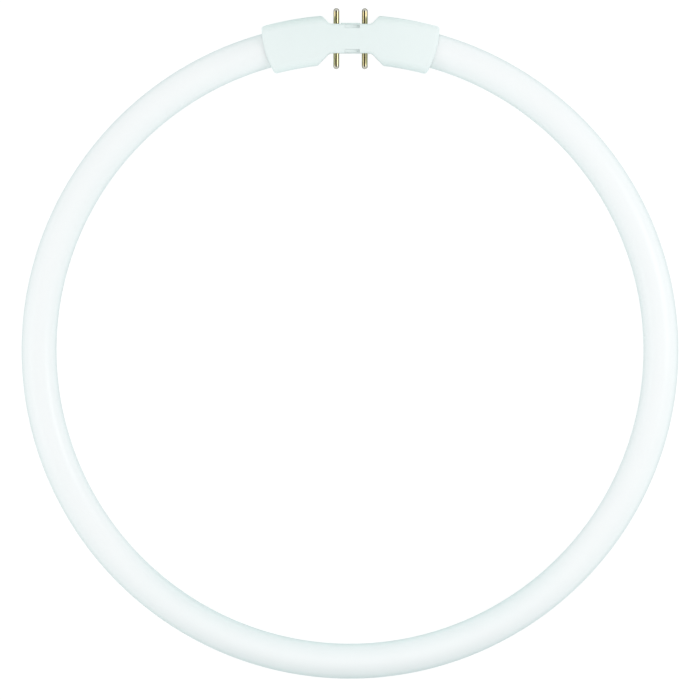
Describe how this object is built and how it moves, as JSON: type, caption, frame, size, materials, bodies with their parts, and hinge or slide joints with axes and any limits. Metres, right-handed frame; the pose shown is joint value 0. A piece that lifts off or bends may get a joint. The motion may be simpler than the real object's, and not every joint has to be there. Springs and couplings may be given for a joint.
{
  "type": "circular led tube",
  "caption": "Opal ring-shaped LED tube whose ends meet in a white moulded cap with brass contact pins on its outer and inner edges.",
  "frame": {"origin": "centre of the ring, in the middle plane of the tube", "axes": "+Z along the ring's axis towards the front, +Y from the ring's centre to the cap, along the outer pins"},
  "size_m": [0.3, 0.3062, 0.0204],
  "materials": {
    "opal_glass": "opal white, glossy",
    "cap_plastic": "white moulded, fine matt grain",
    "pin_brass": "turned, bright",
    "collar_silicone": "soft, translucent white",
    "board_laminate": "solder mask",
    "choke_ferrite": "sintered, matt",
    "capacitor_can": "drawn can",
    "component_black": "moulded epoxy",
    "pin_lead_sleeve": "wire insulation",
    "tube_lead_sleeve": "wire insulation"
  },
  "bodies": {
    "root": {"tube": "opal_glass", "cap_front_shell": "cap_plastic", "cap_rear_shell": "cap_plastic", "outer_pin_left": "pin_brass", "outer_pin_right": "pin_brass", "inner_pin_left": "pin_brass", "inner_pin_right": "pin_brass", "end_collar_left": "collar_silicone", "end_collar_right": "collar_silicone", "driver_board": "board_laminate", "choke": "choke_ferrite", "smoothing_capacitor": "capacitor_can", "bridge_rectifier": "component_black", "driver_chip": "component_black", "fuse_resistor": "component_black", "pin_lead_1": "pin_lead_sleeve", "pin_lead_2": "pin_lead_sleeve", "pin_lead_3": "pin_lead_sleeve", "pin_lead_4": "pin_lead_sleeve", "tube_lead_1": "tube_lead_sleeve", "tube_lead_2": "tube_lead_sleeve", "tube_lead_3": "tube_lead_sleeve", "tube_lead_4": "tube_lead_sleeve"}
  },
  "joints": []
}
